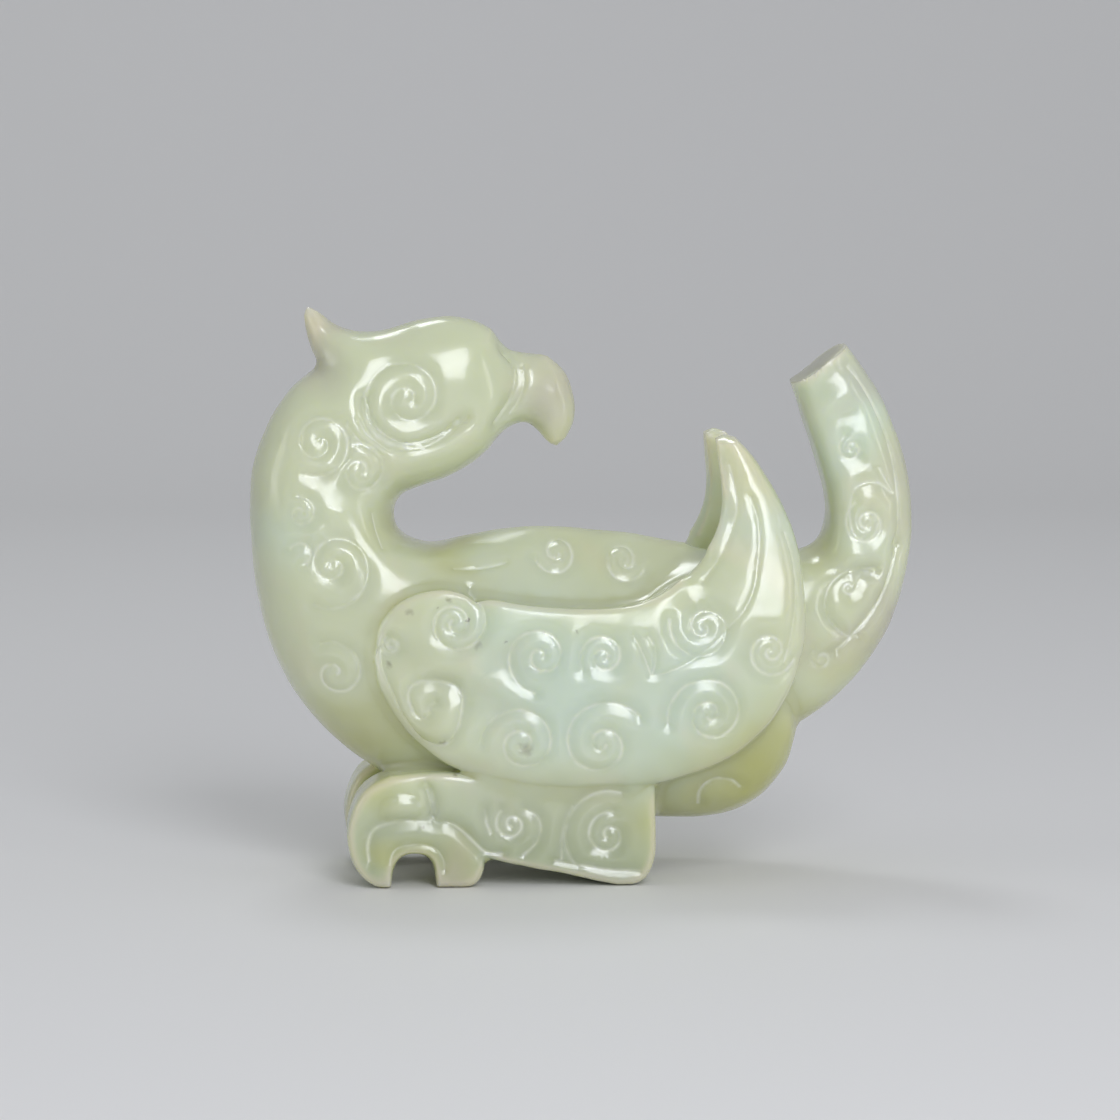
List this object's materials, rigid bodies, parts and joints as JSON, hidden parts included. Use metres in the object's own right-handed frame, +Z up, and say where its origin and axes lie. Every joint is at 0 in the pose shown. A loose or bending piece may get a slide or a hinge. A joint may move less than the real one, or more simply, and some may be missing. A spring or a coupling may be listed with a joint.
{
  "type": "jade bird carving",
  "caption": "Small carved stone figure of a crouching bird, head turned back over its folded wings, tail raised; stands by its own weight on its feet.",
  "frame": {"origin": "on the ground under the middle of the carving's bounding box", "axes": "+Z up, +X towards the tail along the bird, +Y across it; the bird is the same on both sides of y = 0"},
  "size_m": [0.0639, 0.0242, 0.0548],
  "materials": {
    "jade": "polished, pale celadon, slightly translucent"
  },
  "bodies": {
    "root": {"jade_bird": "jade"}
  },
  "joints": []
}
